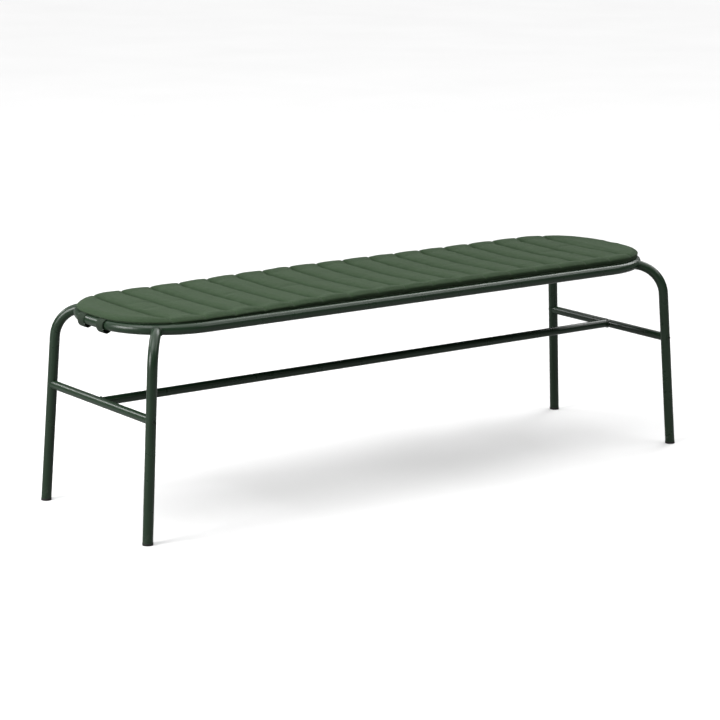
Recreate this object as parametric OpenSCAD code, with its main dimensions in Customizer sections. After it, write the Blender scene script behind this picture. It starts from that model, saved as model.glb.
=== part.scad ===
// Backless bench: a welded steel tube frame with a loose quilted seat cushion.
// Units are millimetres. X runs along the bench, Y from front (-) to back (+), Z up.
// The origin is on the floor under the middle of the seat.

/* [Seat ring] */
// Outside length of the seat ring
ring_len = 1446; // [1430:2:1480]
// Outside width of the seat ring
ring_w = 384; // [370:2:430]
// Centreline radius of the ring's four corner bends
ring_bend_r = 158; // [130:1:165]
// Height of the ring's tube axis above the floor
ring_z = 428; // [400:1:450]
// Outside diameter of the ring and leg tube
tube_d = 22; // [20:0.5:25]
// Wall thickness of every tube
tube_wall = 1.5; // [1.2:0.1:2]
// Diameter of the drain holes under the ring
drain_d = 5; // [4:0.5:6]

/* [Legs] */
// Distance between left and right feet, centre to centre
foot_dx = 1440; // [1420:2:1450]
// Distance between front and back feet, centre to centre
foot_dy = 420; // [410:2:430]
// Inward lean of the legs along the bench, in degrees
lean_x = 3.85; // [3.5:0.05:4.2]
// Inward lean of the legs across the bench, in degrees
lean_y = 1.8; // [1.5:0.05:2.1]
// Centreline radius of the bend at the top of each leg
leg_bend_r = 70; // [66:1:80]
// Distance of the leg's end below the ring's axis
leg_drop = 3; // [2:0.5:5]

/* [Welds] */
// Reach of a weld's fillet bead over each of the two tubes that it joins
bead = 2.2; // [1.5:0.1:3]

/* [Stretchers] */
// Height of the stretchers' axes above the floor
stretcher_z = 256; // [220:1:300]
// Outside diameter of the stretcher tube
stretcher_d = 19; // [16:0.5:20]

/* [Fasteners] */
// Thread diameter of the leg bolts
bolt_d = 6; // [5:0.5:8]
// Diameter of the low bolt head
bolt_head_d = 9; // [8:0.5:12]
// Height of the low bolt head
bolt_head_h = 2; // [1.8:0.1:3]
// Length of the thread inside the stretcher
bolt_grip = 20; // [14:1:30]
// Length of the threaded plug in a stretcher end
plug_len = 22; // [18:1:34]

/* [Feet] */
// Height of the plastic glide under the tube
glide_h = 5; // [3:0.5:8]
// Depth of the glide's shank inside the tube
glide_shank = 24; // [16:1:36]

/* [Seat slats] */
// Distance between neighbouring slats, and so between the cushion's channels
channel_pitch = 73.4; // [60:0.1:73.6]
// Width of a slat
slat_w = 44; // [30:1:50]
// Thickness of a slat
slat_t = 4; // [3:0.5:5]
// Distance of the slats' top below the ring's top
slat_drop = 1; // [1:0.5:3]

/* [Cushion] */
// Length of the cushion
cushion_len = 1434; // [1400:2:1450]
// Width of the cushion
cushion_w = 354; // [340:2:380]
// Corner radius of the cushion
cushion_r = 150; // [120:1:160]
// Thickness of the cushion
cushion_t = 17; // [14:1:30]
// Thickness of the cushion's two cover panels
cover_t = 1; // [0.6:0.1:1.5]

/* [Straps] */
// Width of a strap
strap_w = 20; // [15:1:28]
// Thickness of a strap
strap_t = 1.6; // [1.2:0.1:2]
// Inner radius of the strap's loop round the ring
strap_r = 14; // [13.5:0.5:16]
// Distance of each strap from the middle of the bench's end
strap_y = 38; // [30:1:60]
// Diameter of the press stud that closes a strap
snap_d = 12; // [9:1:14]

/* [Hidden] */
$fn = 64;
eps = 0.01;
clear = 0.3;
rad = tube_d / 2;
bore = rad - tube_wall;
str_r = stretcher_d / 2;
str_bore = str_r - tube_wall;
// Length of a cutting shape that only has to be long enough
far = 100;

// Ring centreline
ring_x = ring_len / 2 - rad;
ring_y = ring_w / 2 - rad;
bend_x = ring_x - ring_bend_r;
bend_y = ring_y - ring_bend_r;
ring_top = ring_z + rad;

// Leg in the quarter where x and y are positive. The straight part leans inward and the bend
// turns towards the centre of the ring's corner, so the leg meets the ring square on.
foot_x = foot_dx / 2;
foot_y = foot_dy / 2;
leg_end_z = ring_z - leg_drop;
// Distance between the end of the leg's axis and the ring's centreline
leg_end_gap = 3;
// Facets round the tubes that shape a leg's bead, finer because the bead is a thin crescent
weld_fn = 160;
top_x = foot_x - leg_end_z * tan(lean_x);
top_y = foot_y - leg_end_z * tan(lean_y);
leg_turn = atan2(top_y - bend_y, top_x - bend_x);
leg_reach = norm([top_x - bend_x, top_y - bend_y]) - ring_bend_r - leg_end_gap;
leg_bend_a = acos(1 - leg_reach / leg_bend_r);
leg_dip = leg_reach * (cos(leg_turn) * sin(lean_x) + sin(leg_turn) * sin(lean_y));
leg_rise = (leg_end_z + leg_dip) / (cos(lean_x) * cos(lean_y));
leg_straight = leg_rise - leg_bend_r * sin(leg_bend_a);

// Leg axis where the stretchers join
str_x = foot_x - stretcher_z * tan(lean_x);
str_y = foot_y - stretcher_z * tan(lean_y);

// The long stretcher stops this far short of the end stretchers' axes, where equal tubes would only touch
long_end_gap = 2;
long_end_x = str_x - long_end_gap;

// Bolts run through the leg and into the plug in the stretcher's end
bolt_hole_d = bolt_d + 0.5;
// Distance of the head's seat from the leg's axis: a shallow flat in the tube
head_seat = rad - 0.4;
// Hexagon socket in the bolt head
socket_r = bolt_head_d * 0.225;
socket_depth = bolt_head_h * 0.65;
// Radial room between the bolt and the plug's thread
thread_clear = 0.05;
// Distance between the leg and the plug inside the stretcher
plug_gap = 2;
plug_face = str_y - rad - plug_gap;

// One slat lies under each channel of the cushion
slat_count = 19;
slat_z = ring_top - slat_drop - slat_t;
// The straps pass between the ring and the cushion, so the cushion lies just above them
strap_z = ring_top - strap_r;
cushion_z = ring_top + strap_t + clear;
snap_h = 3;
drain_x = ring_x / 2;

slat_names = [for (i = [1:slat_count]) str("seat_slat_", i < 10 ? "0" : "", i)];
quarters = [["left_back", -1, 1], ["left_front", -1, -1], ["right_back", 1, 1], ["right_front", 1, -1]];

steel_green = [0.16, 0.22, 0.17];
fabric_green = [0.24, 0.32, 0.24];
plastic_black = [0.05, 0.05, 0.05];
zinc = [0.62, 0.64, 0.66];

// ---- Shared shapes ----

// Copy of a shape from the quarter where x and y are positive into another quarter
module in_quarter(side, depth) {
    mirror_if_negative(side, [1, 0, 0])
        mirror_if_negative(depth, [0, 1, 0])
            children();
}

// Mirror image for a negative sign, and the shape itself for a positive one
module mirror_if_negative(sign, axis) {
    if (sign < 0) mirror(axis) children();
    else children();
}

// Straight rod of the seat ring along X at its front or back
module rail_rod(depth, r) {
    translate([-bend_x, depth * ring_y, ring_z])
        rotate([0, 90, 0])
            cylinder(h = 2 * bend_x, r = r);
}

// Rod of the seat ring round its right end: two bends and the short straight between them
module bow_rod(r) {
    for (depth = [-1, 1])
        translate([bend_x, depth * bend_y, ring_z])
            rotate([0, 0, depth < 0 ? -90 : 0])
                rotate_extrude(angle = 90)
                    translate([ring_bend_r, 0]) circle(r = r);
    translate([ring_x, bend_y, ring_z])
        rotate([90, 0, 0])
            cylinder(h = 2 * bend_y, r = r);
}

// The whole ring as a rod, used to shape the ends that meet it
module ring_rod(r) {
    rail_rod(-1, r);
    rail_rod(1, r);
    bow_rod(r);
    mirror([1, 0, 0]) bow_rod(r);
}

// Leg of the positive quarter as a rod: a leaning straight and the bend at its top
module leg_rod(r, start = 0) {
    translate([foot_x, foot_y, 0])
        rotate([lean_y, -lean_x, 0])
            rotate([0, 0, leg_turn]) {
                translate([0, 0, start])
                    cylinder(h = leg_straight - start, r = r);
                translate([0, 0, leg_straight])
                    leg_bend(r);
            }
}

// Bend that starts upright at the origin and turns towards -X
module leg_bend(r) {
    translate([-leg_bend_r, 0, 0])
        rotate([90, 0, 0])
            rotate_extrude(angle = leg_bend_a)
                translate([leg_bend_r, 0]) circle(r = r);
}

// Rod of the end stretcher in the half where x is positive
module end_stretcher_rod(r) {
    translate([str_x, str_y, stretcher_z])
        rotate([90, 0, 0])
            cylinder(h = 2 * str_y, r = r);
}

// Rod of the long stretcher from the middle to the right end stretcher
module long_stretcher_rod(r, x0, x1) {
    translate([x0, 0, stretcher_z])
        rotate([0, 90, 0])
            cylinder(h = x1 - x0, r = r);
}

// Seat outline with round corners
module rounded_outline(len, w, r) {
    square([len - 2 * r, w], center = true);
    square([len, w - 2 * r], center = true);
    for (sx = [-1, 1], sy = [-1, 1])
        translate([sx * (len / 2 - r), sy * (w / 2 - r)])
            circle(r = r);
}

// ---- Seat ring ----

module rail(depth) {
    color(steel_green)
        difference() {
            rail_rod(depth, rad);
            translate([-eps, 0, 0]) rail_rod(depth, bore);
            translate([eps, 0, 0]) rail_rod(depth, bore);
            for (side = [-1, 1])
                translate([side * drain_x, depth * ring_y, ring_z - rad - 1])
                    cylinder(h = rad, d = drain_d);
        }
}

module end_bow() {
    color(steel_green)
        difference() {
            bow_rod(rad);
            bow_rod(bore);
            translate([ring_x, 0, ring_z - rad - 1])
                cylinder(h = rad, d = drain_d);
        }
}

// ---- Legs ----

module leg() {
    color(steel_green)
        difference() {
            leg_rod(rad, -2 * rad);
            leg_rod(bore, -3 * rad);
            ring_rod(rad);
            translate([foot_x, foot_y, glide_h - far / 2])
                cube([far, far, far], center = true);
            bolt_axis(bolt_hole_d / 2, -rad - plug_gap, rad + plug_gap);
            bolt_axis(bolt_head_d / 2, head_seat, head_seat + bolt_head_h);
        }
}

// Rod on the bolt's axis, from one distance to another outward of the leg's axis
module bolt_axis(r, from, to) {
    translate([str_x, str_y + to, stretcher_z])
        rotate([90, 0, 0])
            cylinder(h = to - from, r = r);
}

// Fillet bead that follows the joint between leg and ring
module leg_weld() {
    difference() {
        intersection() {
            leg_rod(rad + bead, $fn = weld_fn);
            bow_rod(rad + bead, $fn = weld_fn);
        }
        leg_rod(rad, $fn = weld_fn);
        bow_rod(rad, $fn = weld_fn);
    }
}

module leg_welds() {
    color(steel_green)
        for (q = quarters) in_quarter(q[1], q[2]) leg_weld();
}

module glide() {
    color(plastic_black)
        difference() {
            union() {
                intersection() {
                    leg_rod(rad + 0.4, -2 * rad);
                    translate([foot_x, foot_y, glide_h / 2])
                        cube([3 * tube_d, 3 * tube_d, glide_h], center = true);
                }
                intersection() {
                    leg_rod(bore - 0.1, -2 * rad);
                    translate([foot_x, foot_y, (glide_h + glide_shank) / 2])
                        cube([3 * tube_d, 3 * tube_d, glide_h + glide_shank], center = true);
                }
            }
            // The shank is hollow from above
            intersection() {
                leg_rod(bore - 2.1, -2 * rad);
                translate([foot_x, foot_y, glide_h + glide_shank])
                    cube([3 * tube_d, 3 * tube_d, 2 * glide_shank], center = true);
            }
        }
}

// ---- Stretchers ----

module end_stretcher() {
    color(steel_green)
        difference() {
            end_stretcher_rod(str_r);
            end_stretcher_rod(str_bore);
            leg_rod(rad);
            mirror([0, 1, 0]) leg_rod(rad);
        }
}

module long_stretcher() {
    color(steel_green)
        difference() {
            long_stretcher_rod(str_r, -long_end_x, long_end_x);
            long_stretcher_rod(str_bore, -str_x - 1, str_x + 1);
            end_stretcher_rod(str_r);
            mirror([1, 0, 0]) end_stretcher_rod(str_r);
        }
}

module stretcher_weld() {
    difference() {
        intersection() {
            long_stretcher_rod(str_r + bead, str_x - 2 * str_r, str_x - str_r / 3);
            end_stretcher_rod(str_r + bead);
        }
        long_stretcher_rod(str_r, str_x - 3 * str_r, str_x + 1);
        end_stretcher_rod(str_r);
    }
}

module stretcher_welds() {
    color(steel_green) {
        stretcher_weld();
        mirror([1, 0, 0]) stretcher_weld();
    }
}

// ---- Leg bolts and the threaded plugs that they screw into ----

module stretcher_plug() {
    difference() {
        translate([str_x, plug_face, stretcher_z])
            rotate([90, 0, 0])
                cylinder(h = plug_len, r = str_bore);
        bolt_axis(bolt_d / 2 + thread_clear, -far, 0);
    }
}

module stretcher_plugs() {
    color(zinc)
        for (q = quarters) in_quarter(q[1], q[2]) stretcher_plug();
}

module bolt() {
    difference() {
        union() {
            bolt_axis(bolt_d / 2, -rad - plug_gap - bolt_grip, rad);
            bolt_axis(bolt_head_d / 2, head_seat, head_seat + bolt_head_h);
        }
        bolt_axis(socket_r, head_seat + bolt_head_h - socket_depth, head_seat + bolt_head_h + 1, $fn = 6);
    }
}

module stretcher_bolts() {
    color(steel_green)
        for (q = quarters) in_quarter(q[1], q[2]) bolt();
}

// ---- Seat slats ----

module seat_slat(i) {
    color(steel_green)
        difference() {
            translate([0, 0, slat_z])
                linear_extrude(slat_t)
                    intersection() {
                        translate([(i - (slat_count - 1) / 2) * channel_pitch, 0])
                            square([slat_w, ring_w], center = true);
                        rounded_outline(2 * ring_x, 2 * ring_y, ring_bend_r);
                    }
            ring_rod(rad);
        }
}

// ---- Cushion ----

module cushion_slab(inset, z0, z1) {
    translate([0, 0, z0])
        linear_extrude(z1 - z0)
            rounded_outline(cushion_len - 2 * inset, cushion_w - 2 * inset, cushion_r - inset);
}

module cushion_top_cover() {
    color(fabric_green)
        difference() {
            cushion_slab(0, cushion_z + cover_t, cushion_z + cushion_t);
            cushion_slab(cover_t, cushion_z - 1, cushion_z + cushion_t - cover_t);
        }
}

module cushion_bottom_cover() {
    color(fabric_green)
        cushion_slab(0, cushion_z, cushion_z + cover_t);
}

module cushion_padding() {
    color("white")
        cushion_slab(cover_t, cushion_z + cover_t, cushion_z + cushion_t - cover_t);
}

// Loop of webbing round the end tube, tight on its top and slack below it
module strap() {
    color(fabric_green)
        translate([ring_x, strap_y + strap_w / 2, strap_z])
            rotate([90, 0, 0])
                linear_extrude(strap_w)
                    difference() {
                        circle(r = strap_r + strap_t);
                        circle(r = strap_r);
                    }
}

// Press stud on the inner side of a strap
module strap_snap() {
    translate([ring_x - strap_r - strap_t - snap_h, strap_y, strap_z])
        rotate([0, 90, 0])
            cylinder(h = snap_h + strap_t / 2, d = snap_d);
}

module strap_snaps() {
    color(zinc)
        difference() {
            for (q = quarters) in_quarter(q[1], q[2]) strap_snap();
            for (q = quarters) in_quarter(q[1], q[2]) snap_clearance();
        }
}

// Space taken by the strap's loop, so that the stud ends on the webbing
module snap_clearance() {
    translate([ring_x, strap_y + strap_w, strap_z])
        rotate([90, 0, 0])
            cylinder(h = 2 * strap_w, r = strap_r + strap_t);
}

// ---- Nodes ----

rail(-1);  // front_rail
rail(1);  // back_rail
mirror([1, 0, 0]) end_bow();  // left_end_bow
end_bow();  // right_end_bow
for (q = quarters) {
    in_quarter(q[1], q[2]) leg();
    in_quarter(q[1], q[2]) glide();
    in_quarter(q[1], q[2]) strap();
}
mirror([1, 0, 0]) end_stretcher();  // left_end_stretcher
end_stretcher();  // right_end_stretcher
long_stretcher();
stretcher_plugs();
stretcher_bolts();
leg_welds();
stretcher_welds();
for (i = [0:slat_count - 1])
    seat_slat(i);
cushion_top_cover();
cushion_bottom_cover();
cushion_padding();
strap_snaps();
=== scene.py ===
import math

import bmesh
import bpy
import numpy as np
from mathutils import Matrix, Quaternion, Vector


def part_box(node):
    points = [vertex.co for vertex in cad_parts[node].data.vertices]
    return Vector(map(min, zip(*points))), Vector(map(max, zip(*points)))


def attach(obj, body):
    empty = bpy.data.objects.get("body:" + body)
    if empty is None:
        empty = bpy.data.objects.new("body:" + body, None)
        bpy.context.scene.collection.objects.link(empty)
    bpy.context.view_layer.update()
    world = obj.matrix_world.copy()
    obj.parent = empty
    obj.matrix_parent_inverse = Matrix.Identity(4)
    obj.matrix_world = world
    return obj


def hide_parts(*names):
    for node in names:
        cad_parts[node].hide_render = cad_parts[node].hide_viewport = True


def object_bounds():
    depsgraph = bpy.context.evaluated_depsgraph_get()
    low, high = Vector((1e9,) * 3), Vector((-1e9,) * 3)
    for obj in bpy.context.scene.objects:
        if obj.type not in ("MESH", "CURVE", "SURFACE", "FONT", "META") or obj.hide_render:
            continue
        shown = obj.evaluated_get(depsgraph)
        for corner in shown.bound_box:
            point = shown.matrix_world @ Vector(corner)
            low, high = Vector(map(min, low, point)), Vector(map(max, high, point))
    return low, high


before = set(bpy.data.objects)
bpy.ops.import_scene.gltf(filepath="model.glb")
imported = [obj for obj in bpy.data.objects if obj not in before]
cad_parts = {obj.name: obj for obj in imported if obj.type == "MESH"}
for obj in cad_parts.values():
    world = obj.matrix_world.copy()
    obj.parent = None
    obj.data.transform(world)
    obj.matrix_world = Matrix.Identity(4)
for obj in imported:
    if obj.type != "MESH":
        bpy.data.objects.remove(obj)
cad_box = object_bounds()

# Backless bench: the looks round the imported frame.
# Metres, Z up, X along the bench, Y from front to back.

SEED = 11
MM = 0.001

# ---- Places taken from the frame ----

cover_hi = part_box("cushion_top_cover")[1]
slat_names = sorted(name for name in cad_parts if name.startswith("seat_slat_"))
slat_x = [sum(corner.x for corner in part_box(name)) / 2 for name in slat_names]
seam_x = np.array([(a + b) / 2 for a, b in zip(slat_x, slat_x[1:])])
half_pitch = (seam_x[1] - seam_x[0]) / 2
slat_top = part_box(slat_names[0])[1].z
middle_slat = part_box(slat_names[len(slat_names) // 2])
slat_half_w = (middle_slat[1].x - middle_slat[0].x) / 2
last_slat_edge = max(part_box(name)[1].x for name in slat_names)
ring_lo, ring_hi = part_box("right_end_bow")
tube_r = (ring_hi.z - ring_lo.z) / 2
ring_axis_x = ring_hi.x - tube_r
ring_axis_y = ring_hi.y - tube_r
ring_axis_z = ring_hi.z - tube_r
ring_bend_r = ring_axis_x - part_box("front_rail")[1].x
strap_lo, strap_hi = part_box("right_back_strap")
strap_y = (strap_hi.y + strap_lo.y) / 2
stud_lo, stud_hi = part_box("strap_snaps")

# ---- Cushion sizes ----

# Outline, and the side between the top and the narrower underside
CORNER_R = 150 * MM
EDGE_INSET = 0.6 * MM
SIDE_BULGE = 0.8 * MM
BULGE_EASE = 14 * MM
SIDE_RIPPLE = 0.2 * MM
SIDE_TAPER = 3.8 * MM
TAPER_WIDTH = 25 * MM

# How far the edge is drawn in: between the corners, and where a seam ends
SIDE_PULL = 1.0 * MM
SCALLOP = 1.2 * MM
SCALLOP_HALF_W = 12 * MM
PULL_WIDTH = 30 * MM

# Top: a raised rim with a rounded lip, and the dished seat within it
CROWN_Z = cover_hi.z - 0.5 * MM
RIM_WIDTH = 44 * MM
LIP_WIDTH = 18 * MM
LIP_DROP = 7.5 * MM
DISH = 8.6 * MM

# The seat's left part lies lower and its two tips dip
LEFT_FROM = 100 * MM
LEFT_FADE = 400 * MM
LEFT_DROP = 6.0 * MM
LEFT_DISH = 4.5 * MM
TIP_DROP = 3.0 * MM
TIP_LENGTH = 110 * MM

# Channels and the creases between them. Only a share of their depth reaches the rim.
CROWNING = 2.5 * MM
CREASE = 8.2 * MM
CREASE_WIDTH = 7.5 * MM
NOTCH_SHARE = 0.32

# Underside: on the slats, sunk past their edges, and clear of the ring and the straps
REST_Z = slat_top + 0.2 * MM
SLAT_CLEAR = 1 * MM
SAG_EASE = 6 * MM
SAG = 3.6 * MM
END_SAG = 4.0 * MM
RING_CLEAR = 1.3 * MM
STRAP_EASE = 4 * MM
STRAP_FADE = 8 * MM
STRAP_REACH = 40 * MM

# Gathers beside the seams and slow unevenness of the filling: spacing and height
FINE_PUCKER = 11 * MM
FINE_PUCKER_H = 0.9 * MM
FINE_PUCKER_START = 3 * MM
FINE_PUCKER_REACH = 9 * MM
SLOW_PUCKER = 46 * MM
SLOW_PUCKER_H = 0.55 * MM
PUCKER_EDGE = 7 * MM

# Welt round the bottom of the side
WELT_HALF_W = 1.05 * MM
WELT_HALF_H = 0.85 * MM
WELT_OUT = 0.5 * MM
WELT_DOWN = 0.2 * MM

# Grid of the mesh
CHANNEL_COLUMNS = 14
END_COLUMNS = 20
ROWS = 84
SIDE_ROWS = 7
END_SPLIT = 0.27

# Cloth simulation
SIM_FRAMES = 16
MOVE_CAP = 2.0 * MM
SEWN_WITHIN = 0.05 * MM

# ---- Strap, stitch and stud sizes ----

# The webbing is wider and thinner than the plain loops that stand for it in the frame
STRAP_WIDENING = 1.32
STRAP_T = 1.3 * MM
STRAP_ROOM = 0.7 * MM
strap_half_w = STRAP_WIDENING * (strap_hi.y - strap_lo.y) / 2
strap_top_z = ring_hi.z + STRAP_T + STRAP_ROOM

STITCH_STEP = 4.2 * MM
STITCH_LEN = 3.0 * MM
THREAD_R = 0.38 * MM
THREAD_PROUD = 0.25 * MM
STRAP_STITCH_INSET = 2.2 * MM

STUD_SIDES = 32
STUD_RISE = 1.5 * MM
STUD_SUNK = 0.7 * MM

# ---- Small helpers ----


def smooth(t):
    """Eases from 0 to 1 with level ends."""
    t = np.clip(t, 0.0, 1.0)
    return t * t * (3 - 2 * t)


def wavy(length, spacing, seed):
    """A smooth random curve of amplitude about 1, as a function of the place along a line of that length."""
    rng = np.random.default_rng(seed)
    knots = np.arange(-2 * spacing, length + 3 * spacing, spacing)
    values = rng.normal(0, 0.6, len(knots))
    fine = np.linspace(knots[0], knots[-1], 8 * len(knots))
    rough = np.interp(fine, knots, values)
    kernel = np.hanning(13)
    soft = np.convolve(rough, kernel / kernel.sum(), mode="same")
    return lambda s: np.interp(s, fine, soft)


def make_object(name, mesh, *materials):
    """Links a mesh as a smooth-shaded object with those materials."""
    obj = bpy.data.objects.new(name, mesh)
    bpy.context.scene.collection.objects.link(obj)
    for material in materials:
        mesh.materials.append(material)
    mesh.polygons.foreach_set("use_smooth", [True] * len(mesh.polygons))
    return obj


def mesh_from(name, points, faces):
    """A new mesh of those points and faces."""
    mesh = bpy.data.meshes.new(name)
    mesh.from_pydata([tuple(p) for p in points], [], faces)
    mesh.update()
    return mesh


def sweep(path, ups, profile, closed=False):
    """Points and faces of a profile carried along a path. Profile points are (across, up)."""
    path, ups = np.asarray(path, float), np.asarray(ups, float)
    if closed:
        ahead, behind = np.roll(path, -1, axis=0), np.roll(path, 1, axis=0)
    else:
        ahead, behind = np.vstack([path[1:], path[-1:]]), np.vstack([path[:1], path[:-1]])
    along = ahead - behind
    along /= np.linalg.norm(along, axis=1)[:, None]
    across = np.cross(along, ups)
    across /= np.linalg.norm(across, axis=1)[:, None]
    up = np.cross(across, along)
    profile = np.asarray(profile, float)
    rings = (
        path[:, None, :]
        + profile[None, :, 0, None] * across[:, None, :]
        + profile[None, :, 1, None] * up[:, None, :]
    )
    count, sides = rings.shape[:2]
    faces = []
    for i in range(count if closed else count - 1):
        j = (i + 1) % count
        for k in range(sides):
            m = (k + 1) % sides
            faces.append((i * sides + k, i * sides + m, j * sides + m, j * sides + k))
    if not closed:
        faces.append(tuple(range(sides - 1, -1, -1)))
        faces.append(tuple((count - 1) * sides + k for k in range(sides)))
    return rings.reshape(-1, 3), faces


def run_length(path):
    """Distance along a path at each of its points."""
    return np.concatenate([[0], np.cumsum(np.linalg.norm(np.diff(path, axis=0), axis=1))])


def turn_out(mesh):
    """Turns the faces of a mesh of closed shells so that they all look out."""
    shape = bmesh.new()
    shape.from_mesh(mesh)
    bmesh.ops.recalc_face_normals(shape, faces=shape.faces)
    shape.to_mesh(mesh)
    shape.free()


def joined(parts):
    """Several (points, faces) as one."""
    points, faces, start = [], [], 0
    for part_points, part_faces in parts:
        points.append(part_points)
        faces += [tuple(i + start for i in face) for face in part_faces]
        start += len(part_points)
    return np.vstack(points), faces


# ---- Materials ----


class Shader:
    """A material's nodes, with short calls that add one and join it up."""

    def __init__(self, name, roughness=0.5, specular=0.5):
        self.material = bpy.data.materials.new(name)
        self.material.use_nodes = True
        self.tree = self.material.node_tree
        self.surface = self.tree.nodes["Principled BSDF"]
        self.surface.inputs["Roughness"].default_value = roughness
        self.surface.inputs["Specular IOR Level"].default_value = specular
        place = self.tree.nodes.new("ShaderNodeTexCoord")
        self.place = place.outputs["Object"]

    def add(self, kind, inputs=(), **settings):
        node = self.tree.nodes.new(kind)
        for name, value in settings.items():
            setattr(node, name, value)
        for key, value in dict(inputs).items():
            self.feed(node.inputs[key], value)
        return node

    def feed(self, socket, value):
        if isinstance(value, bpy.types.NodeSocket):
            self.tree.links.new(value, socket)
        else:
            socket.default_value = value

    def set(self, name, value):
        self.feed(self.surface.inputs[name], value)

    def noise(self, size, detail=3.0, roughness=0.5, place=None):
        """Noise whose features are about that many metres across."""
        inputs = {
            "Vector": place or self.place,
            "Scale": 1 / size,
            "Detail": detail,
            "Roughness": roughness,
        }
        return self.add("ShaderNodeTexNoise", inputs).outputs["Fac"]

    def calc(self, operation, a, b=0.0):
        return self.add("ShaderNodeMath", {0: a, 1: b}, operation=operation).outputs[0]

    def spread(self, value, low, high, to_low=0.0, to_high=1.0):
        """Maps a value from one range to another, held at its ends."""
        inputs = {"Value": value, 1: low, 2: high, 3: to_low, 4: to_high}
        return self.add("ShaderNodeMapRange", inputs, clamp=True).outputs["Result"]

    def blend(self, amount, a, b):
        node = self.add("ShaderNodeMix", {0: amount}, data_type="RGBA")
        self.feed(node.inputs[6], a)
        self.feed(node.inputs[7], b)
        return node.outputs[2]

    def axes(self):
        return tuple(self.add("ShaderNodeSeparateXYZ", {0: self.place}).outputs)

    def attribute(self, name):
        return self.add("ShaderNodeAttribute", attribute_name=name).outputs["Fac"]

    def bump(self, height, depth, strength=1.0, under=None):
        inputs = {"Height": height, "Distance": depth, "Strength": strength}
        if under is not None:
            inputs["Normal"] = under
        return self.add("ShaderNodeBump", inputs).outputs["Normal"]


def rgb(r, g, b):
    """An opaque colour."""
    return (r, g, b, 1.0)


def powder_coat(name, base, dark, gloss_low=0.25, gloss_high=0.34, ripple=0.0):
    """Powder coat: orange peel, slow changes of gloss, and rubbed, dusty lower ends."""
    s = Shader(name, specular=0.37)
    patch = s.noise(0.09, 4.0)
    speck = s.noise(0.0021, 2.0)
    tone = s.blend(s.spread(patch, 0.3, 0.7), rgb(*dark), rgb(*base))
    height = s.axes()[2]
    low = s.spread(height, 0.0, 0.045, 1.0, 0.0)
    scuff = s.calc("MULTIPLY", low, s.spread(s.noise(0.006, 5.0, 0.7), 0.50, 0.68))
    dusty = s.blend(s.calc("MULTIPLY", scuff, 0.45), tone, rgb(0.085, 0.088, 0.075))
    s.set("Base Color", dusty)
    rough = s.spread(s.noise(0.03, 5.0, 0.6), 0.25, 0.75, gloss_low, gloss_high)
    s.set("Roughness", s.calc("ADD", rough, s.calc("MULTIPLY", scuff, 0.25)))
    peel = s.bump(s.noise(0.0016, 2.0, 0.45), 0.03 * MM, 0.35)
    fine = s.bump(speck, 0.015 * MM, 0.25, peel)
    if ripple:
        inputs = {"Vector": s.place, "Scale": 1 / ripple / 3, "Distortion": 2.5, "Detail Scale": 2.0}
        across = s.add("ShaderNodeTexWave", inputs, wave_type="RINGS")
        fine = s.bump(across.outputs["Fac"], 0.35 * MM, 0.8, fine)
    s.set("Normal", fine)
    return s.material


def woven(s, pitch):
    """Height of a plain weave with that thread pitch, and which thread set is on top."""
    x, y, z = s.axes()
    turn = math.pi / pitch
    a = s.calc("SINE", s.calc("MULTIPLY", s.calc("ADD", x, z), turn))
    b = s.calc("SINE", s.calc("MULTIPLY", s.calc("ADD", y, z), turn))
    over = s.spread(s.calc("MULTIPLY", a, b), -0.25, 0.25)
    warp = s.calc("ABSOLUTE", a)
    weft = s.calc("ABSOLUTE", b)
    lifted = s.calc("MULTIPLY", warp, over)
    sunk = s.calc("MULTIPLY", weft, s.calc("SUBTRACT", 1.0, over))
    return s.calc("ADD", lifted, sunk), over


def fabric(name, warp, weft, pitch=1.3 * MM, slub=0.5):
    """Outdoor canvas: plain weave of two close greens, slubs, fine fuzz and slow changes of tone."""
    s = Shader(name, roughness=0.92, specular=0.12)
    height, over = woven(s, pitch)
    yarn = s.blend(over, rgb(*weft), rgb(*warp))
    stretched = s.add("ShaderNodeMapping", {"Vector": s.place, "Scale": (0.25, 1.0, 1.0)})
    fleck = s.noise(1.9 * MM, 3.0, 0.65, stretched.outputs["Vector"])
    light = tuple(min(1.0, 1.32 * c) for c in warp)
    shade = tuple(0.70 * c for c in weft)
    flecked = s.blend(s.spread(fleck, 0.52, 0.80, 0.0, slub), yarn, rgb(*light))
    flecked = s.blend(s.spread(fleck, 0.48, 0.22, 0.0, slub), flecked, rgb(*shade))
    slow = s.spread(s.noise(0.055, 4.0, 0.6), 0.3, 0.7, 0.0, 0.16)
    s.set("Base Color", s.blend(slow, flecked, rgb(*shade)))
    s.set("Roughness", s.spread(s.noise(0.004, 4.0), 0.3, 0.7, 0.86, 0.97))
    s.set("Sheen Weight", 0.07)
    s.set("Sheen Roughness", 0.45)
    s.set("Sheen Tint", rgb(0.70, 0.80, 0.66))
    weave = s.bump(height, 0.22 * MM, 0.75)
    fuzz = s.bump(s.noise(0.5 * MM, 3.0, 0.7), 0.10 * MM, 0.45, weave)
    s.set("Normal", s.bump(s.noise(0.012, 3.0, 0.55), 0.35 * MM, 0.5, fuzz))
    return s.material


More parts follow.
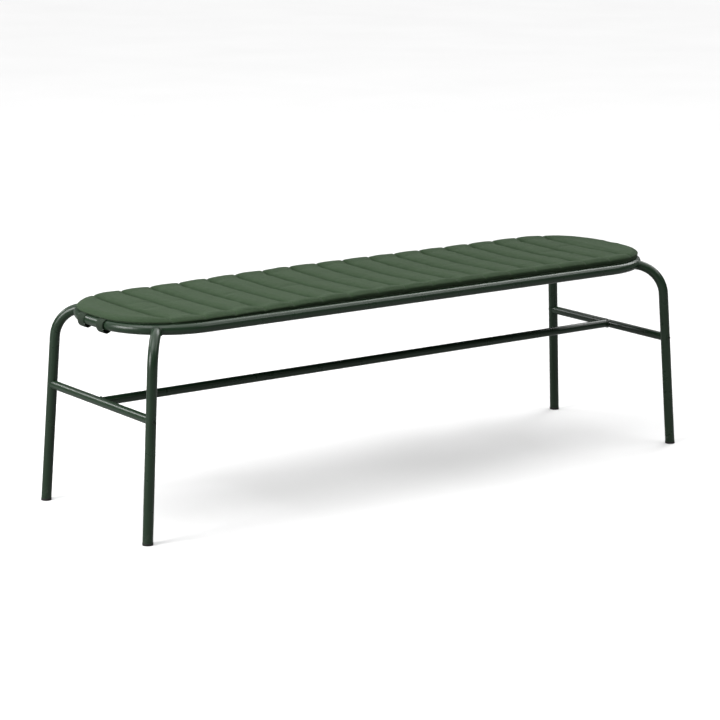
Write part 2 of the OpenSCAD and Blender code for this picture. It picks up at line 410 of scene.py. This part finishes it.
def webbing(name, base):
    """Narrow strap webbing: ribs along the strap, picks across it, painted shade in the grooves between them,
    and darker patches.
    """
    s = Shader(name, roughness=0.85, specular=0.2)
    along, across = s.attribute("along"), s.attribute("across")
    rib = s.calc("ABSOLUTE", s.calc("SINE", s.calc("MULTIPLY", across, math.pi / (1.8 * MM))))
    pick = s.calc("ABSOLUTE", s.calc("SINE", s.calc("MULTIPLY", along, math.pi / (1.0 * MM))))
    height = s.calc("ADD", s.calc("MULTIPLY", rib, 0.7), s.calc("MULTIPLY", pick, 0.3))
    dark = tuple(0.55 * c for c in base)
    # Painted shade: where the rib and pick height is low, in the weave's grooves, the colour is darker.
    tone = s.blend(s.spread(height, 0.15, 0.8), rgb(*dark), rgb(*base))
    s.set("Base Color", s.blend(s.spread(s.noise(0.01, 4.0), 0.35, 0.75, 0.0, 0.35), tone, rgb(*dark)))
    s.set("Roughness", s.spread(s.noise(0.003), 0.3, 0.7, 0.78, 0.92))
    s.set("Sheen Weight", 0.05)
    s.set("Normal", s.bump(height, 0.25 * MM, 0.9))
    return s.material


def thread(name, base):
    """Sewing thread: two twisted plies, with painted shade in the grooves between them."""
    s = Shader(name, roughness=0.6, specular=0.35)
    x, y, z = s.axes()
    twist = s.calc("SINE", s.calc("MULTIPLY", s.calc("ADD", s.calc("ADD", x, y), z), math.pi / (0.35 * MM)))
    dark = tuple(0.6 * c for c in base)
    # Painted shade: where the twist height is low, between the plies, the colour is darker.
    s.set("Base Color", s.blend(s.spread(twist, -0.8, 0.8), rgb(*dark), rgb(*base)))
    s.set("Roughness", s.spread(s.noise(0.002), 0.3, 0.7, 0.5, 0.7))
    s.set("Normal", s.bump(twist, 0.06 * MM, 0.8))
    return s.material


def moulded_plastic(name, base, worn):
    """Moulded glide: fine spark texture, rubbed grey where it stands on the floor."""
    s = Shader(name, specular=0.4)
    height = s.axes()[2]
    rub = s.calc("MULTIPLY", s.spread(height, 0.0, 0.004, 1.0, 0.15), s.spread(s.noise(0.004, 5.0), 0.4, 0.7))
    s.set("Base Color", s.blend(s.calc("MULTIPLY", rub, 0.6), rgb(*base), rgb(*worn)))
    s.set("Roughness", s.spread(s.noise(0.002, 4.0), 0.3, 0.7, 0.45, 0.65))
    s.set("Normal", s.bump(s.noise(0.7 * MM, 3.0, 0.6), 0.05 * MM, 0.6))
    return s.material


def plated_steel(name, base, dull):
    """Zinc-plated steel: brushed streaks and dull spots."""
    s = Shader(name)
    s.set("Metallic", 1.0)
    spots = s.spread(s.noise(0.004, 5.0, 0.65), 0.40, 0.68)
    s.set("Base Color", s.blend(spots, rgb(*base), rgb(*dull)))
    s.set("Roughness", s.spread(s.noise(0.0015, 4.0), 0.25, 0.75, 0.24, 0.48))
    stretched = s.add("ShaderNodeMapping", {"Vector": s.place, "Scale": (1.0, 0.1, 1.0)})
    brush = s.noise(0.5 * MM, 2.0, 0.5, stretched.outputs["Vector"])
    s.set("Normal", s.bump(brush, 0.03 * MM, 0.5))
    return s.material


def studio_floor(name):
    """Pale floor. It throws back less light than it shows, as a retouched white studio floor does."""
    s = Shader(name, roughness=0.9, specular=0.0)
    pale = s.blend(s.spread(s.noise(0.7, 3.0), 0.3, 0.7), rgb(0.80, 0.80, 0.80), rgb(0.82, 0.82, 0.82))
    seen = s.add("ShaderNodeLightPath").outputs["Is Camera Ray"]
    s.set("Base Color", s.blend(seen, rgb(0.30, 0.30, 0.30), pale))
    return s.material


FRAME_GREEN, FRAME_DARK = (0.0112, 0.0290, 0.0130), (0.0088, 0.0230, 0.0104)
frame_coat = powder_coat("powder_coat_green", FRAME_GREEN, FRAME_DARK)
slat_coat = powder_coat("powder_coat_slats", FRAME_GREEN, FRAME_DARK, 0.36, 0.5)
bolt_coat = powder_coat("powder_coat_bolts", FRAME_DARK, (0.009, 0.017, 0.010), 0.32, 0.45)
weld_coat = powder_coat("powder_coat_welds", FRAME_GREEN, FRAME_DARK, 0.26, 0.38, ripple=1.6 * MM)
top_fabric = fabric("fabric_quilted_green", (0.031, 0.0535, 0.0265), (0.026, 0.046, 0.0225))
under_fabric = fabric("fabric_underside", (0.018, 0.025, 0.017), (0.014, 0.020, 0.014), 1.0 * MM, 0.3)
piping_fabric = fabric("fabric_edge_welt", (0.038, 0.058, 0.034), (0.032, 0.050, 0.030), 1.0 * MM, 0.3)
strap_fabric = webbing("webbing_green", (0.017, 0.031, 0.017))
sewing = thread("thread_green", (0.028, 0.043, 0.026))
glide_plastic = moulded_plastic("plastic_black", (0.012, 0.012, 0.012), (0.07, 0.07, 0.065))
zinc = plated_steel("steel_zinc", (0.62, 0.63, 0.64), (0.42, 0.43, 0.44))
snap_zinc = plated_steel("steel_press_stud", (0.70, 0.70, 0.71), (0.45, 0.46, 0.46))

# ---- Finishes of the CAD nodes ----


def finish_of(name):
    """The material of a CAD node, from its name."""
    kinds = [
        ("seat_slat", slat_coat),
        ("stretcher_plugs", zinc),
        ("stretcher_bolts", bolt_coat),
        ("welds", weld_coat),
        ("glide", glide_plastic),
        ("cushion_padding", under_fabric),
        ("cushion", top_fabric),
        ("strap_snaps", snap_zinc),
        ("strap", strap_fabric),
    ]
    for word, material in kinds:
        if word in name:
            return material
    return frame_coat


for node_name, node_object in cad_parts.items():
    node_object.data.materials.clear()
    node_object.data.materials.append(finish_of(node_name))

# ---- Cushion ----


class Outline:
    """Rectangle with round corners, centred on the origin."""

    def __init__(self, half_len, half_wid, corner):
        self.half_len, self.half_wid, self.corner = half_len, half_wid, corner
        self.core_x, self.core_y = half_len - corner, half_wid - corner

    def half_width_at(self, x):
        past = np.clip(np.abs(x) - self.core_x, 0, self.corner)
        return self.core_y + np.sqrt(self.corner**2 - past**2)

    def distance(self, x, y):
        """How far a point lies inside the outline."""
        qx, qy = np.abs(x) - self.core_x, np.abs(y) - self.core_y
        outside = np.hypot(np.maximum(qx, 0), np.maximum(qy, 0))
        return self.corner - outside - np.minimum(np.maximum(qx, qy), 0)

    def outward(self, x, y):
        """Unit vector that points out of the outline at a point near it."""
        nx = np.sign(x) * np.maximum(np.abs(x) - self.core_x, 0)
        ny = np.sign(y) * np.maximum(np.abs(y) - self.core_y, 0)
        size = np.maximum(np.hypot(nx, ny), 1e-9)
        return nx / size, ny / size

    def end_point(self, start_x, share):
        """Point at that share of the way round the right end, from the front at start_x to the back."""
        angle = math.acos((start_x - self.core_x) / self.corner)
        arc, straight = self.corner * angle, 2 * self.core_y
        s = share * (2 * arc + straight)
        if s < arc:
            a = -angle + s / self.corner
            return self.core_x + self.corner * math.cos(a), -self.core_y + self.corner * math.sin(a)
        if s < arc + straight:
            return self.half_len, -self.core_y + s - arc
        a = (s - arc - straight) / self.corner
        return self.core_x + self.corner * math.cos(a), self.core_y + self.corner * math.sin(a)


ring_axis = Outline(ring_axis_x, ring_axis_y, ring_bend_r)
cushion_outline = Outline(
    cover_hi.x - EDGE_INSET,
    cover_hi.y - EDGE_INSET,
    CORNER_R - EDGE_INSET,
)


def row_places():
    """Places of the rows from front to back, from -1 to 1, closer together near the edges."""
    u = np.linspace(-1, 1, ROWS + 1)
    return 0.55 * u + 0.45 * np.sin(math.pi / 2 * u)


def end_patch(outline):
    """Columns of points from just past the last seam to the right end of the outline."""
    start = seam_x[-1]
    rows = row_places()
    shares = (rows + 1) / 2
    seam_y = rows * outline.half_width_at(start)
    left = np.stack([np.full_like(seam_y, start), seam_y], axis=1)
    round_end = [outline.end_point(start, END_SPLIT + (1 - 2 * END_SPLIT) * v) for v in shares]
    right = np.array(round_end)
    columns = []
    for i in range(1, END_COLUMNS + 1):
        t = i / END_COLUMNS
        u = 0.45 * t + 0.55 * (1 - math.cos(math.pi * t)) / 2
        front = np.array(outline.end_point(start, END_SPLIT * u))
        back = np.array(outline.end_point(start, 1 - END_SPLIT * u))
        v = shares[:, None]
        across = (1 - u) * left + u * right
        ends = (1 - v) * front + v * back
        corners = (1 - v) * ((1 - u) * left[0] + u * right[0]) + v * ((1 - u) * left[-1] + u * right[-1])
        columns.append(across + ends - corners)
    return columns


def cushion_grid(outline):
    """Points of the cushion's outline filled with a grid, as an array [column, row, (x, y)]."""
    rows = row_places()
    columns = []
    for k in range(len(seam_x) - 1):
        for i in range(CHANNEL_COLUMNS):
            t = i / CHANNEL_COLUMNS
            u = 0.35 * t + 0.65 * (1 - math.cos(math.pi * t)) / 2
            x = seam_x[k] + u * (seam_x[k + 1] - seam_x[k])
            columns.append(np.stack([np.full_like(rows, x), rows * outline.half_width_at(x)], axis=1))
    x = seam_x[-1]
    columns.append(np.stack([np.full_like(rows, x), rows * outline.half_width_at(x)], axis=1))
    right_end = end_patch(outline)
    left_end = [column * np.array([-1.0, 1.0]) for column in reversed(right_end)]
    return np.array(left_end + columns + right_end)


def seam_gaps(x):
    """Distance from a place along the bench to each seam."""
    return np.abs(x[..., None] - seam_x)


def from_seam(x):
    """Distance to the nearest seam."""
    return seam_gaps(x).min(axis=-1)


def top_height(x, inside):
    """Height of the quilted top: a raised rim, a dish within it, and channels between creases."""
    gap = from_seam(x)
    beside = 1 - np.clip(gap / half_pitch, 0, 1)
    in_crease = 1 - np.clip(gap / CREASE_WIDTH, 0, 1)
    from_rim = smooth(inside / RIM_WIDTH)
    at_left = smooth((-x - LEFT_FROM) / LEFT_FADE)
    at_tip = smooth((np.abs(x) - cover_hi.x + TIP_LENGTH) / TIP_LENGTH)
    lip = (1 - np.clip(inside / LIP_WIDTH, 0, 1)) ** 2.4
    crest = CROWN_Z - LEFT_DROP * at_left - TIP_DROP * at_tip * (1 - 0.5 * at_left) - LIP_DROP * lip
    crest = crest - (DISH - LEFT_DISH * at_left) * (0.6 * from_rim + 0.4 * inside / cover_hi.y)
    drop = CROWNING * beside**2.2 + CREASE * in_crease**2
    return crest - drop * (NOTCH_SHARE + (1 - NOTCH_SHARE) * from_rim)


def bottom_height(x, y):
    """Height of the underside: level on the slats, sunk beside them, and over the ring and straps."""
    between = smooth((half_pitch - slat_half_w - SLAT_CLEAR - from_seam(x)) / SAG_EASE)
    past_slats = smooth((np.abs(x) - last_slat_edge - SLAT_CLEAR) / SAG_EASE)
    height = REST_Z - np.maximum(SAG * between, END_SAG * past_slats)
    off_axis = np.clip(ring_axis.distance(x, y) / tube_r, -1, 1)
    over_ring = ring_axis_z + tube_r * np.sqrt(1 - off_axis**2) + RING_CLEAR
    height = np.maximum(height, over_ring)
    near_strap = smooth((strap_half_w + STRAP_EASE - np.abs(np.abs(y) - strap_y)) / STRAP_EASE)
    near_strap = near_strap * smooth((np.abs(x) - ring_axis_x + STRAP_REACH) / STRAP_FADE)
    return height + np.maximum(strap_top_z - height, 0) * near_strap


def drawn_in(x, inside):
    """How far the fabric near the edge is drawn in, most of all where a seam ends."""
    at_seam = 1 - smooth(from_seam(x) / SCALLOP_HALF_W)
    along = np.clip(1 - (x / cushion_outline.core_x) ** 2, 0, 1)
    return (SIDE_PULL * along + SCALLOP * at_seam) * (1 - smooth(inside / PULL_WIDTH))


def puckers(x, y, inside):
    """Small gathers of the fabric beside each seam, and slow unevenness of the filling."""
    gap, which = from_seam(x), seam_gaps(x).argmin(axis=-1)
    height = np.zeros_like(x)
    width = 2 * cover_hi.y
    for k in range(len(seam_x)):
        for side in (-1, 1):
            mine = (which == k) & (np.sign(x - seam_x[k]) == side)
            fine = wavy(width, FINE_PUCKER, SEED + 40 * k + side)
            slow = wavy(width, SLOW_PUCKER, SEED + 900 + 40 * k + side)
            place = y[mine] + width / 2
            near = np.exp(-gap[mine] / FINE_PUCKER_REACH) * smooth(gap[mine] / FINE_PUCKER_START)
            wide = np.exp(-((gap[mine] / half_pitch - 0.6) ** 2) / 0.12)
            height[mine] = FINE_PUCKER_H * fine(place) * near + SLOW_PUCKER_H * slow(place) * wide
    return height * smooth(inside / PUCKER_EDGE)


def grid_faces(index):
    """Faces with four corners between the points of a grid, given the points' numbers."""
    corners = [index[:-1, :-1], index[1:, :-1], index[1:, 1:], index[:-1, 1:]]
    return np.stack(corners, axis=-1).reshape(-1, 4)


def inflate(mesh_name, grid, pinned):
    """Cloth simulation of the top: sewn down at the seams and the edge, and lifted by air between."""
    columns, rows = grid.shape[:2]
    index = np.arange(columns * rows).reshape(columns, rows)
    mesh = mesh_from(mesh_name, grid.reshape(-1, 3), grid_faces(index).tolist())
    obj = make_object(mesh_name, mesh)
    group = obj.vertex_groups.new(name="sewn")
    group.add([int(i) for i in index[pinned]], 1.0, "REPLACE")
    cloth = obj.modifiers.new("cloth", "CLOTH")
    settings = cloth.settings
    settings.quality = 6
    settings.mass = 0.25
    settings.tension_stiffness = settings.compression_stiffness = 18
    settings.shear_stiffness = 8
    settings.bending_stiffness = 0.6
    settings.tension_damping = settings.compression_damping = 8
    settings.vertex_group_mass = "sewn"
    settings.use_pressure = True
    settings.uniform_pressure_force = 2.0
    settings.shrink_min = -0.003
    settings.effector_weights.gravity = 0.0
    cloth.collision_settings.use_collision = False
    scene = bpy.context.scene
    cloth.point_cache.frame_start, cloth.point_cache.frame_end = 1, SIM_FRAMES
    scene.frame_start, scene.frame_end = 1, SIM_FRAMES
    for moment in range(1, SIM_FRAMES + 1):
        scene.frame_set(moment)
    evaluated = obj.evaluated_get(bpy.context.evaluated_depsgraph_get())
    moved = np.zeros(columns * rows * 3, np.float32)
    evaluated.data.vertices.foreach_get("co", moved)
    bpy.data.objects.remove(obj)
    bpy.data.meshes.remove(mesh)
    shift = moved.reshape(grid.shape).astype(float) - grid
    size = np.linalg.norm(shift, axis=-1, keepdims=True)
    return grid + shift * np.minimum(1.0, MOVE_CAP / np.maximum(size, 1e-9))


def rim_walk(columns, rows):
    """Column and row of each boundary point of the grid, once round it."""
    front = [(i, 0) for i in range(columns)]
    right = [(columns - 1, j) for j in range(1, rows)]
    back = [(i, rows - 1) for i in range(columns - 2, -1, -1)]
    left = [(0, j) for j in range(rows - 2, 0, -1)]
    return front + right + back + left


def side_rings(edge_top, edge_under, outward, gap):
    """Rings of points down the cushion's side, which swells a little between the seams."""
    full = smooth(gap / BULGE_EASE)
    ripple = wavy(len(gap), 9, SEED + 5)(np.arange(len(gap)))
    bulge = SIDE_BULGE * (0.4 + 0.6 * full) + SIDE_RIPPLE * ripple
    rings = []
    for r in range(1, SIDE_ROWS):
        w = r / SIDE_ROWS
        ring = edge_top + (edge_under - edge_top) * w
        ring[:, :2] += outward * (bulge * math.sin(math.pi * w) ** 0.65)[:, None]
        rings.append(ring)
    return rings


def side_faces(rim_top, rim_under, first_side):
    """Faces of the cushion's side, from the numbers of its rims and of its first point between them."""
    size = len(rim_top)
    between = [first_side + r * size + np.arange(size) for r in range(SIDE_ROWS - 1)]
    rings = [rim_top, *between, rim_under]
    faces = []
    for upper, lower in zip(rings, rings[1:]):
        corners = [np.roll(upper, -1), upper, lower, np.roll(lower, -1)]
        faces.append(np.stack(corners, axis=-1))
    return np.vstack(faces)


def build_cushion():
    """The quilted pad as one closed mesh: its object, top and underside grids, and side rings."""
    flat = cushion_grid(cushion_outline)
    x, y = flat[..., 0], flat[..., 1]
    inside = np.maximum(cushion_outline.distance(x, y), 0)
    outward = np.stack(cushion_outline.outward(x, y), axis=-1)
    pull = drawn_in(x, inside)[..., None]
    tuck = pull + SIDE_TAPER * (1 - smooth(inside / TAPER_WIDTH))[..., None]
    top = np.dstack([flat - outward * pull, top_height(x, inside)])
    under = flat - outward * tuck
    under = np.dstack([under, bottom_height(under[..., 0], under[..., 1])])
    gap = from_seam(x)
    top = inflate("cushion_cloth", top, (gap < SEWN_WITHIN) | (inside < SEWN_WITHIN))
    top[..., 2] += puckers(x, y, inside)

    columns, rows = x.shape
    count = columns * rows
    at = tuple(np.array(rim_walk(columns, rows)).T)
    sides = side_rings(top[at], under[at], outward[at], gap[at])
    index = np.arange(count).reshape(columns, rows)
    top_faces = grid_faces(index)
    under_faces = top_faces[:, ::-1] + count
    faces = np.vstack([top_faces, side_faces(index[at], index[at] + count, 2 * count), under_faces])
    points = np.vstack([top.reshape(-1, 3), under.reshape(-1, 3), *sides])
    mesh = mesh_from("cushion_mesh", points, faces.tolist())
    obj = make_object("quilted_cushion", mesh, top_fabric, under_fabric)
    is_under = np.zeros(len(faces), np.int32)
    is_under[-len(under_faces):] = 1
    mesh.polygons.foreach_set("material_index", is_under)
    return obj, top, under, sides


cushion, cushion_top, cushion_under, cushion_sides = build_cushion()
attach(cushion, "root")
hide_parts("cushion_top_cover", "cushion_bottom_cover", "cushion_padding")


def build_welt():
    """Narrow welt where the top cover's side is sewn to the underside, all round."""
    path = cushion_sides[-1].copy()
    out_x, out_y = cushion_outline.outward(path[:, 0], path[:, 1])
    path[:, 0] += out_x * WELT_OUT
    path[:, 1] += out_y * WELT_OUT
    path[:, 2] -= WELT_DOWN
    angles = np.linspace(0, 2 * math.pi, 8, endpoint=False)
    profile = np.stack([WELT_HALF_W * np.cos(angles), WELT_HALF_H * np.sin(angles)], axis=1)
    ups = np.tile([0.0, 0.0, 1.0], (len(path), 1))
    points, faces = sweep(path, ups, profile, closed=True)
    mesh = mesh_from("welt_mesh", points, faces)
    return make_object("cushion_edge_welt", mesh, piping_fabric)


welt = build_welt()
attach(welt, "root")

# ---- Stitching ----


def stitch(middle, along, up):
    """One stitch: a short thread whose ends dip into the fabric."""
    along, up = np.array(along, float), np.array(up, float)
    places = np.array([-0.5, -0.3, 0.3, 0.5])
    drops = np.array([-1.6, 0.0, 0.0, -1.6]) * THREAD_R
    path = [middle + along * STITCH_LEN * p + up * d for p, d in zip(places, drops)]
    angles = np.linspace(0, 2 * math.pi, 5, endpoint=False)
    profile = THREAD_R * np.stack([np.cos(angles), np.sin(angles)], axis=1)
    return sweep(path, np.tile(up, (4, 1)), profile)


def seam_stitches(grid, sign):
    """Stitches along every seam of a grid of points, lying a little proud of it."""
    parts = []
    seam_column = [int(np.argmin(np.abs(grid[:, ROWS // 2, 0] - x))) for x in seam_x]
    for column in seam_column:
        line = grid[column]
        reach = np.abs(line[:, 1]).max() - 3 * MM
        for y in np.arange(-reach, reach, STITCH_STEP):
            z = np.interp(y, line[:, 1], line[:, 2]) + sign * THREAD_PROUD
            ahead = np.interp(y + MM, line[:, 1], line[:, 2]) + sign * THREAD_PROUD
            along = Vector((0, MM, ahead - z)).normalized()
            parts.append(stitch(np.array([line[ROWS // 2, 0], y, z]), along, (0, 0, sign)))
    return joined(parts)


def add_stitching(name, points, faces, slot_name):
    """Stitches as a piece of their own."""
    obj = make_object(name, mesh_from(name + "_mesh", points, faces), sewing)
    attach(obj, "root")


add_stitching("seam_stitching_top", *seam_stitches(cushion_top, 1), "cushion_fabric")
add_stitching("seam_stitching_underside", *seam_stitches(cushion_under, -1), "underside_fabric")

# ---- Straps ----


def between_points(a, b, c, d, t):
    """Point at that share of the way from b to c on a Catmull-Rom curve."""
    bend = 2 * a - 5 * b + 4 * c - d
    twist = 3 * b - a - 3 * c + d
    return 0.5 * (2 * b + (c - a) * t + bend * t**2 + twist * t**3)


def curve_through(points, count):
    """A smooth line of count points, evenly spaced, through a few points."""
    p = np.array(points, float)
    p = np.vstack([2 * p[0] - p[1], p, 2 * p[-1] - p[-2]])
    shares = np.linspace(0, 1, 24, endpoint=False)
    line = [between_points(*four, t) for four in zip(p, p[1:], p[2:], p[3:]) for t in shares]
    line = np.array([*line, p[-2]])
    lengths = run_length(line)
    even = np.linspace(0, lengths[-1], count)
    return np.stack([np.interp(even, lengths, line[:, k]) for k in range(line.shape[1])], axis=1)


def strap_line():
    """The strap over the ring, slack below it and back up inside, as (outward, up) from its axis."""
    lay = tube_r + STRAP_T / 2 + 0.1 * MM
    hugging = [(lay * math.sin(a), lay * math.cos(a)) for a in np.radians([0, 30, 60, 88])]
    inner = strap_lo.x + 0.8 * MM - ring_axis_x
    below = strap_lo.z + STRAP_T / 2 - ring_axis_z
    slack = [
        (1.02 * tube_r, -0.42 * tube_r),
        (0.84 * tube_r, below + 7.0 * MM),
        (0.45 * tube_r, below + 2.3 * MM),
        (0.05 * tube_r, below + 1.2 * MM),
        (-0.45 * tube_r, below + 3.0 * MM),
        (-0.95 * tube_r, below + 7.2 * MM),
        (inner + 0.5 * MM, below + 11.5 * MM),
        (inner, below + 16 * MM),
        (inner, below + 21 * MM),
        (inner + 0.3 * MM, lay - 3.5 * MM),
    ]
    start = [(-32 * MM, lay + 0.1 * MM), (-20 * MM, lay + 0.1 * MM), (-9 * MM, lay + 0.05 * MM)]
    return curve_through(start + hugging + slack, 90)


def tail_line():
    """The strap's other end, down over the first one to the stud, as (outward, up) from the axis."""
    lay = tube_r + STRAP_T / 2
    inner = strap_lo.x + 0.8 * MM - ring_axis_x - STRAP_T - 0.1 * MM
    points = [
        (-34 * MM, lay - 1.0 * MM),
        (-24 * MM, lay - 1.2 * MM),
        (inner - 1.6 * MM, lay - 3.0 * MM),
        (inner, lay - 7 * MM),
        (inner, -4 * MM),
        (inner - 0.1 * MM, -10.5 * MM),
    ]
    return curve_through(points, 40)


def band(line, side, middle_y):
    """A strap along a line: points, faces, places along and across it, its path and its ups."""
    x = side * (ring_axis_x + line[:, 0])
    path = np.stack([x, np.full(len(line), middle_y), ring_axis_z + line[:, 1]], axis=1)
    ups = np.cross(np.gradient(path, axis=0), [0.0, 1.0, 0.0])
    half, t = strap_half_w, STRAP_T / 2
    lower = [(-half, -0.4 * t), (-half + t, -t), (-half / 2, -t), (0.0, -t)]
    lower += [(half / 2, -t), (half - t, -t), (half, -0.4 * t)]
    profile = lower + [(-a, -b) for a, b in lower]
    points, faces = sweep(path, ups, profile)
    along = np.repeat(run_length(path), len(profile))
    across = np.tile([p[0] for p in profile], len(path))
    return points, faces, along, across, path, ups


def strap_stitches(path, ups, outward):
    """Two rows of stitches near the strap's edges."""
    parts = []
    lengths = run_length(path)
    for edge in (-1, 1):
        for s in np.arange(3 * MM, lengths[-1] - 2 * MM, STITCH_STEP):
            here = np.array([np.interp(s, lengths, path[:, k]) for k in range(3)])
            ahead = np.array([np.interp(s + MM, lengths, path[:, k]) for k in range(3)])
            along = (ahead - here) / np.linalg.norm(ahead - here)
            up = np.array([np.interp(s, lengths, ups[:, k]) for k in range(3)])
            up *= outward / np.linalg.norm(up)
            middle = here + up * (STRAP_T / 2 + 0.05 * MM)
            middle[1] += edge * (strap_half_w - STRAP_STITCH_INSET)
            parts.append(stitch(middle, along, up))
    return joined(parts)


def build_strap(node, name):
    """One strap in place of a CAD strap, with its rows of stitches."""
    lo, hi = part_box(node)
    side = 1 if lo.x > 0 else -1
    middle_y = (lo.y + hi.y) / 2
    loop = band(strap_line(), side, middle_y)
    tail = band(tail_line(), side, middle_y)
    points, faces = joined([loop[:2], tail[:2]])
    mesh = mesh_from(name + "_mesh", points, faces)
    for word, place in (("along", 2), ("across", 3)):
        values = np.concatenate([loop[place], tail[place]]).astype(np.float32)
        mesh.attributes.new(word, "FLOAT", "POINT").data.foreach_set("value", values)
    turn_out(mesh)
    obj = make_object(name, mesh, strap_fabric)
    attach(obj, "root")
    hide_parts(node)
    outward = -1 if side > 0 else 1
    add_stitching(name + "_stitching", *strap_stitches(loop[4], loop[5], outward), "strap_webbing")


for place in ("left_back", "left_front", "right_back", "right_front"):
    build_strap(place + "_strap", place + "_webbing_strap")


def turned_stud(seat, side, middle_y):
    """One press stud as a turned shape: a dimple, a rolled rim and a flat back on the strap."""
    radius = (stud_hi.z - stud_lo.z) / 2
    middle_z = (stud_hi.z + stud_lo.z) / 2
    dimple = 0.55
    profile = [
        (0.30, 0.58), (0.50, 0.72), (0.62, 0.95), (0.74, 1.0),
        (0.86, 0.92), (0.96, 0.62), (1.0, 0.25), (0.98, 0.0),
    ]
    points = [(seat - side * STUD_RISE * dimple, middle_y, middle_z)]
    for share, height in profile:
        for k in range(STUD_SIDES):
            a = 2 * math.pi * k / STUD_SIDES
            y = middle_y + radius * share * math.cos(a)
            z = middle_z + radius * share * math.sin(a)
            points.append((seat - side * STUD_RISE * height, y, z))
    index = 1 + np.arange(len(points) - 1).reshape(len(profile), STUD_SIDES)
    faces = []
    for inner, outer in zip(index, index[1:]):
        corners = [inner, np.roll(inner, -1), np.roll(outer, -1), outer]
        faces += np.stack(corners, axis=-1).tolist()
    faces += [(0, b, a) for a, b in zip(index[0].tolist(), np.roll(index[0], -1).tolist())]
    faces.append(tuple(index[-1].tolist()))
    return np.array(points), faces


def build_studs():
    """Four press studs in place of the CAD ones, each on the inner side of a strap."""
    parts = []
    for name in ("left_back", "left_front", "right_back", "right_front"):
        lo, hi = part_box(name + "_strap")
        side = 1 if lo.x > 0 else -1
        seat = lo.x if side > 0 else hi.x
        seat -= side * (STRAP_T - STUD_SUNK)
        parts.append(turned_stud(seat, side, (lo.y + hi.y) / 2))
    mesh = mesh_from("stud_mesh", *joined(parts))
    turn_out(mesh)
    obj = make_object("press_studs", mesh, snap_zinc)
    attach(obj, "root")
    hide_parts("strap_snaps")


build_studs()

# ---- Floor, light and camera ----


def build_floor():
    """A flat pale floor that reaches past the view on every side."""
    half = 45.0
    shape = bmesh.new()
    bmesh.ops.create_grid(shape, x_segments=2, y_segments=2, size=half)
    mesh = bpy.data.meshes.new("floor_mesh")
    shape.to_mesh(mesh)
    shape.free()
    floor = make_object("studio_floor", mesh, studio_floor("floor_pale"))


def aim(obj, target):
    """Turns an object so that its -Z axis points at a place."""
    obj.rotation_mode = "QUATERNION"
    obj.rotation_quaternion = (Vector(target) - obj.location).to_track_quat("-Z", "Y")


def area_light(name, towards, distance, size, watts, shape_aspect=1.0):
    """A soft box in that direction from the seat, facing it."""
    light = bpy.data.lights.new(name, "AREA")
    light.shape = "RECTANGLE"
    light.size, light.size_y = size, size * shape_aspect
    light.energy = watts
    obj = bpy.data.objects.new(name, light)
    bpy.context.scene.collection.objects.link(obj)
    obj.location = Vector(towards).normalized() * distance + Vector((0, 0, ring_axis_z))
    aim(obj, (0, 0, ring_axis_z))


def far_light(name, towards, strength, spread_deg):
    """A wide, far light in that direction, which lights the whole floor alike."""
    light = bpy.data.lights.new(name, "SUN")
    light.energy = strength
    light.angle = math.radians(spread_deg)
    obj = bpy.data.objects.new(name, light)
    bpy.context.scene.collection.objects.link(obj)
    obj.location = Vector(towards)
    aim(obj, (0, 0, 0))


AMBIENT = 0.12


def white_surround():
    """Dim white surround for the light, and a white background."""
    world = bpy.data.worlds.new("surround")
    bpy.context.scene.world = world
    world.use_nodes = True
    tree = world.node_tree
    background = tree.nodes["Background"]
    background.inputs["Color"].default_value = (1, 1, 1, 1)
    seen = tree.nodes.new("ShaderNodeLightPath").outputs["Is Camera Ray"]
    strength = tree.nodes.new("ShaderNodeMapRange")
    strength.inputs["To Min"].default_value = AMBIENT
    strength.inputs["To Max"].default_value = 1.0
    tree.links.new(seen, strength.inputs["Value"])
    tree.links.new(strength.outputs["Result"], background.inputs["Strength"])


AZIMUTH = math.radians(-36.12)
ELEVATION = math.radians(12.5)
ROLL = 0.0027
DISTANCE = 5.674
LENS = 126.46
AIM_SHIFT = Vector((-0.0195, 0.0191, 0.0250))


def build_camera():
    """Camera on the bench's front left side, a little above it."""
    centre = (cad_box[0] + cad_box[1]) / 2
    target = centre + AIM_SHIFT
    flat = math.cos(ELEVATION)
    back = Vector((math.sin(AZIMUTH) * flat, -math.cos(AZIMUTH) * flat, math.sin(ELEVATION)))
    data = bpy.data.cameras.new("camera")
    data.lens, data.sensor_width = LENS, 36.0
    data.clip_end = 200.0
    camera = bpy.data.objects.new("camera", data)
    bpy.context.scene.collection.objects.link(camera)
    camera.location = target + back * DISTANCE
    camera.rotation_mode = "QUATERNION"
    level = (-back).to_track_quat("-Z", "Y")
    camera.rotation_quaternion = level @ Quaternion((0, 0, 1), ROLL)
    bpy.context.scene.camera = camera


build_floor()
white_surround()
far_light("overhead", (0.10, 0.12, 1.0), 2.7, 92)
far_light("key", (0.80, 0.30, 0.62), 1.0, 30)
area_light("right_strip", (0.5755, -0.532, 0.621), 6.0, 4.5, 61, 0.07)
area_light("back_left_strip", (-0.45, 0.79, 0.42), 6.0, 2.4, 70, 0.4)
area_light("left_high_box", (-0.62, -0.15, 0.80), 2.6, 1.6, 26)
area_light("left_box", (-0.98, 0.05, 0.30), 5.0, 2.0, 185)
bpy.context.scene.view_settings.view_transform = "Standard"
build_camera()
